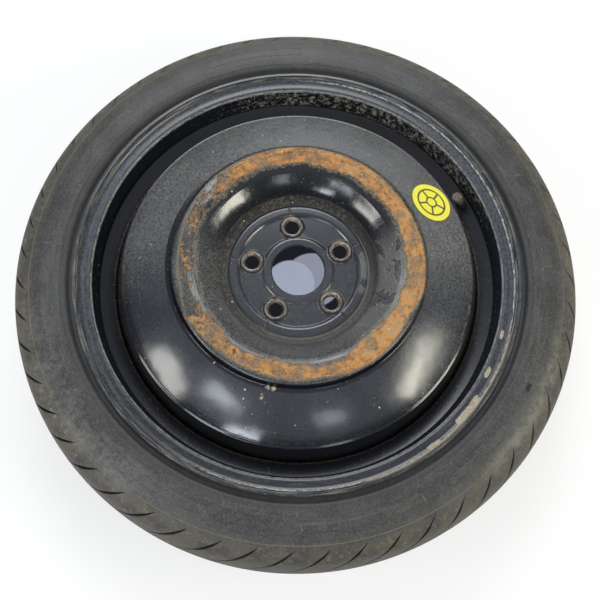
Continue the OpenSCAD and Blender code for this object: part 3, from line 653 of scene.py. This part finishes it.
def dusty_rubber(name, base=(0.03, 0.03, 0.03), dust=(0.16, 0.145, 0.115), amount=0.6):
    n = Net(name, base, 0.6)
    g = n.noise(1.0, 4, 0.75)
    n.coat(n.step(n.noise(2.6, 4, 0.7, seed=3.0), 0.36, 0.66) * amount, dust, 0.9)
    n.raise_by((g - 0.5) * 0.06)
    return n.done(specular=0.4)


def metal(name, colour, rough, stain):
    n = Net(name, colour, rough, 1.0)
    g = n.noise(1.4, 4, 0.65)
    n.coat(n.step(g, 0.45, 0.7) * 0.5, stain, rough + 0.2)
    n.raise_by((n.noise(0.35, 3, 0.6, seed=2.0) - 0.5) * 0.02)
    return n.done()


def sticker_film():
    """Yellow film with a plain wheel motif, drawn in the plane of the dome's slope."""
    slope, spin, mid = math.radians(24), math.radians(27.5), 161.5
    # the slope starts at this radius and height, in mm
    start_r, start_z = 132.6, 33.8
    z0 = start_z - (mid - start_r) * math.tan(slope)
    c = Vector((mid * math.cos(spin), mid * math.sin(spin), z0))
    out = Vector((math.cos(slope) * math.cos(spin), math.cos(slope) * math.sin(spin), -math.sin(slope)))
    side = Vector((-math.sin(spin), math.cos(spin), 0))
    n = Net("sticker_film", (0.85, 0.8, 0.075), 0.34)

    def along(axis):
        return n.x * axis.x + n.y * axis.y + n.z * axis.z - c.dot(axis)

    u, v = along(out), along(side)
    d = n.math("SQRT", u * u + v * v)
    ink = n.step(d, 23.4, 23.8) + n.band(d, 15.4, 17.6, 0.2) + n.band(d, 5.0, 7.0, 0.2)
    spokes, first = 5, 26
    for i in range(spokes):
        a = math.radians(first + 360 / spokes * i)
        across = n.math("ABSOLUTE", u * math.sin(a) - v * math.cos(a))
        ahead = u * math.cos(a) + v * math.sin(a)
        ink = ink + n.step(across, 1.3, 1.0) * n.step(ahead, 6.4, 6.8) * n.step(d, 15.9, 15.6)
    ink = n.math("MINIMUM", ink, 1.0)
    fleck = n.step(n.noise(1.4, 3, 0.7), 0.62, 0.7)
    n.coat(ink, (0.03, 0.03, 0.028), 0.4)
    n.coat(n.noise(8, 4, 0.65, seed=4.0) * 0.3, (0.62, 0.56, 0.12), 0.5)
    n.coat(fleck * 0.35, (0.35, 0.3, 0.12), 0.6)
    n.raise_by((n.noise(6, 2, 0.5, seed=8.0) - 0.5) * 0.05)
    return n.done()


# Tyre mesh
def direction(deg):
    return Vector((math.cos(math.radians(deg)), math.sin(math.radians(deg))))


def heading(p, q):
    return math.degrees(math.atan2(q.y - p.y, q.x - p.x))


def arc(c, r, a0, a1, steps):
    return [c + r * direction(a0 + (a1 - a0) * i / steps) for i in range(steps + 1)]


# The rim under the tyre, in mm: the bead seat's radius, the flange's height, the sheet, the inner
# radius of the flange's curl, and half the width between the flanges
SEAT, FLANGE_H, RIM_T, CURL, HALF = 218.3, 14.2, 2.8, 7.2, 50.8
# The tyre: its radius, the radii of the arcs of its section, the height of its widest point above the
# seat, the rubber at side and tread, half its width, and the radius of the sidewall's fine rib
TYRE_R, CROWN, SHOULDER, SIDE, WIDE, SIDE_T, TREAD_T = 303.5, 128.0, 24.0, 62.0, 37.7, 7.0, 11.0
WIDTH_HALF, LINE_R = 64.0, 276.3
SEGMENTS = 260
crown_c = Vector((TYRE_R - CROWN, 0))
wall_c = Vector((SEAT + WIDE, WIDTH_HALF - SIDE))
# the shoulder's arc touches the other two from inside, which sets its centre
span = (wall_c - crown_c).length
ahead = (span ** 2 + (CROWN - SHOULDER) ** 2 - (SIDE - SHOULDER) ** 2) / (2 * span)
aside = math.sqrt((CROWN - SHOULDER) ** 2 - ahead ** 2)
line_up = heading(crown_c, wall_c)
shoulder_c = crown_c + ahead * direction(line_up) + aside * direction(line_up + 90)
crown_a, wall_a = heading(crown_c, shoulder_c), heading(wall_c, shoulder_c)
TIP = SEAT + FLANGE_H
guard_a = math.degrees(math.acos((TIP + 7.5 - wall_c.x) / SIDE))
guard_z = (wall_c + SIDE * direction(guard_a)).y
curl_c = Vector((TIP - RIM_T - CURL, HALF + RIM_T + CURL))


def points(x, y, offsets):
    return [Vector((x + dx, y + dy)) for dx, dy in offsets]


def rib(a, w, h):
    """A low rib at a degrees on the sidewall's arc, w degrees to each side and h mm high."""
    form = ((-1, 0), (-0.55, 0.85), (0, 1), (0.55, 0.85), (1, 0))
    return [wall_c + (SIDE + h * k) * direction(a + w * t) for t, k in form]


def tyre_profile():
    """The section's outline, closed, from the middle of the tread round the bead and back inside."""
    line_a = math.degrees(math.acos((LINE_R - wall_c.x) / SIDE))
    pts = points(TYRE_R, 0, ((0, 0), (0, 8)))
    # the groove that runs round the tread
    pts += points(TYRE_R, 0, ((-0.35, 10.6), (-0.9, 10.9)))
    pts += points(TYRE_R - GROOVE_T, 0, ((0.4, 11.3), (0, 11.9), (0, 14.1), (0.4, 14.7)))
    pts += points(TYRE_R, 0, ((-1.2, 15.1), (-1.0, 15.5)))
    # tread, shoulder and sidewall, with two ribs
    pts += arc(crown_c, CROWN, 8, crown_a, 9)
    pts += arc(shoulder_c, SHOULDER, crown_a + 2.4, wall_a, 18)
    pts += arc(wall_c, SIDE, wall_a + 1.5, line_a - 0.9, 8)
    pts += rib(line_a, 0.7, 0.45)
    pts += arc(wall_c, SIDE, line_a + 0.9, guard_a - 6, 18)
    pts += rib(guard_a - 4.5, 0.6, 0.35)
    pts += arc(wall_c, SIDE, guard_a - 3, guard_a, 3)
    # the guard's step, the bead in the flange and on its seat, then the inside
    pts += points(TIP, guard_z, ((6.6, -0.7), (5.9, -1.8), (5.2, -3.2), (4.3, -4.2), (2.9, -4.9), (1.4, -5)))
    pts += arc(curl_c, CURL + RIM_T + 0.05, -28, -90, 8)
    pts += points(SEAT, HALF, ((3.2, -0.05), (-0.2, -3.25), (-1.35, -16), (3, -16.8), (10, -11)))
    pts += arc(wall_c, SIDE - SIDE_T, 100, wall_a, 8)
    pts += arc(shoulder_c, SHOULDER - SIDE_T, wall_a - 5, crown_a + 16, 5)
    pts += arc(crown_c, CROWN - TREAD_T, crown_a - 5, 0, 6)
    # back along the other side, mirrored
    return pts + [Vector((p.x, -p.y)) for p in reversed(pts[1:-1])]


def revolve(name, profile, count):
    bm = bmesh.new()
    rings = []
    for i in range(count):
        a = math.tau * i / count
        c, s = math.cos(a), math.sin(a)
        rings.append([bm.verts.new((p.x * c * MM, p.x * s * MM, (p.y + MID) * MM)) for p in profile])
    m = len(profile)
    for i in range(count):
        a, b = rings[i], rings[(i + 1) % count]
        for j in range(m):
            bm.faces.new((a[j], b[j], b[(j + 1) % m], a[(j + 1) % m]))
    bmesh.ops.recalc_face_normals(bm, faces=bm.faces)
    return to_object(name, bm)


# Shoulder grooves: the tilt of the line that they follow, its reach down and up from the shoulder in
# mm, its slant and bow, the number on each side, the first one's angle, depth and half width in mm
TILT, FROM, TO, SLANT, BOW, GROOVES, SPIN = 42.0, -13.0, 31.0, 1.12, 4.0, 52, -3.2
GROOVE_T, GROOVE_HALF = 3.2, 2.6
# A groove's section: shares of its half width with shares of its depth, or with mm above the tread
GROOVE_FORM = (
    (1.25, -1.6), (1.0, 0.0), (0.8, 0.62), (0.45, 0.93),
    (-0.45, 0.93), (-0.8, 0.62), (-1.0, 0.0), (-1.25, -1.6),
)


def off_surface(p):
    """How far a point of the section lies outside the plain tread, in mm."""
    if heading(shoulder_c, p) > crown_a:
        return (p - shoulder_c).length - SHOULDER
    return (p - crown_c).length - CROWN


def groove_cutters():
    foot = shoulder_c + SHOULDER * direction(TILT)
    ux, uz = direction(TILT - 90), direction(TILT)
    steps = 16
    sections = []
    for k in range(steps + 1):
        s = k / steps
        u = FROM + (TO - FROM) * s
        v = -SLANT * u + BOW * s * (1 - s)
        swell = 0.1 + 0.9 * math.sin(math.pi / 2 * min(1, s / 0.3))
        taper = 1 - 0.8 * max(0, (s - 0.3) / 0.7)
        half = GROOVE_HALF * swell * taper
        depth = GROOVE_T * min(1.0, 0.35 + s * 4)
        ring = []
        for w, d in GROOVE_FORM:
            vv = v + half * w
            level = -(depth * d if d > 0 else d)
            # halve the reach until the point is at its level
            lo, hi = -30.0, 30.0
            for _ in range(40):
                h = (lo + hi) / 2
                q = foot + ux * u + uz * h
                q = Vector((math.hypot(q.x, vv), q.y))
                if off_surface(q) > level:
                    hi = h
                else:
                    lo = h
            q = foot + ux * u + uz * ((lo + hi) / 2)
            ring.append(Vector((q.x, vv, q.y)))
        sections.append(ring)
    bm = bmesh.new()
    middle = Vector((0, 0, MID))
    m = len(GROOVE_FORM)
    for sign, shift in ((1, 0), (-1, 0.5)):
        for i in range(GROOVES):
            turn = Matrix.Rotation(math.radians(SPIN) + math.tau * (i + shift) / GROOVES, 4, "Z")
            rows = []
            for ring in sections:
                spots = [turn @ Vector((p.x, p.y, sign * p.z)) + middle for p in ring]
                rows.append([bm.verts.new(spot * MM) for spot in spots])
            for a, b in zip(rows, rows[1:]):
                for j in range(m):
                    bm.faces.new((a[j], a[(j + 1) % m], b[(j + 1) % m], b[j]))
            bm.faces.new(rows[0])
            bm.faces.new(list(reversed(rows[-1])))
    bmesh.ops.recalc_face_normals(bm, faces=bm.faces)
    return to_object("cutters", bm)


def smooth(obj, deg):
    mesh = obj.data
    for p in mesh.polygons:
        p.use_smooth = True
    mesh.set_sharp_from_angle(angle=math.radians(deg))


def make_tyre():
    tyre = revolve("tyre_skin", tyre_profile(), SEGMENTS)
    cut = groove_cutters()
    mod = tyre.modifiers.new("grooves", "BOOLEAN")
    mod.operation = "DIFFERENCE"
    mod.solver = "MANIFOLD"
    mod.object = cut
    bpy.context.view_layer.update()
    dg = bpy.context.evaluated_depsgraph_get()
    mesh = bpy.data.meshes.new_from_object(tyre.evaluated_get(dg))
    tyre.modifiers.clear()
    tyre.data = mesh
    mesh.name = "tyre_skin"
    bpy.data.objects.remove(cut)
    smooth(tyre, 38)
    mesh.materials.clear()
    mesh.materials.append(rubber())
    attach(tyre, "wheel")
    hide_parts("tyre")


# Assembly
def dress(node, mat):
    mesh = nodes[node].data
    if mesh.materials:
        for i in range(len(mesh.materials)):
            mesh.materials[i] = mat
    else:
        mesh.materials.append(mat)


set_camera()
set_light()
make_tyre()
dress("disc", disc_paint())
dress("rim", rim_paint())
weld = Net("weld_paint", (0.03, 0.031, 0.034), 0.45)
weld.coat(weld.noise(3, 4, 0.7) * 0.5, (0.12, 0.09, 0.06), 0.8)
weld.raise_by(weld.noise(1.8, 3, 0.6, seed=2.0) * 0.4)
dress("weld_beads", weld.done())
dress("valve_body", dusty_rubber("valve_rubber"))
dress("valve_cap", dusty_rubber("cap_plastic", (0.05, 0.05, 0.048), (0.24, 0.215, 0.165), 0.8))
brass = metal("brass", (0.62, 0.46, 0.2), 0.3, (0.3, 0.2, 0.09))
for name in ("valve_stem", "core_body", "core_pin"):
    dress(name, brass)
dress("core_spring", metal("spring_steel", (0.6, 0.6, 0.6), 0.25, (0.4, 0.4, 0.4)))
dress("core_gasket", dusty_rubber("red_seal", (0.3, 0.03, 0.02), (0.35, 0.08, 0.05), 0.4))
black_seal = dusty_rubber("black_seal", (0.02, 0.02, 0.02), (0.05, 0.05, 0.05), 0.4)
dress("core_cup_seal", black_seal)
dress("cap_seal", black_seal)
dress("yellow_sticker", sticker_film())
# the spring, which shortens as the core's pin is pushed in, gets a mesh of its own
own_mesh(nodes["core_spring"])
set_floor(cad_lo.z - 0.0002)
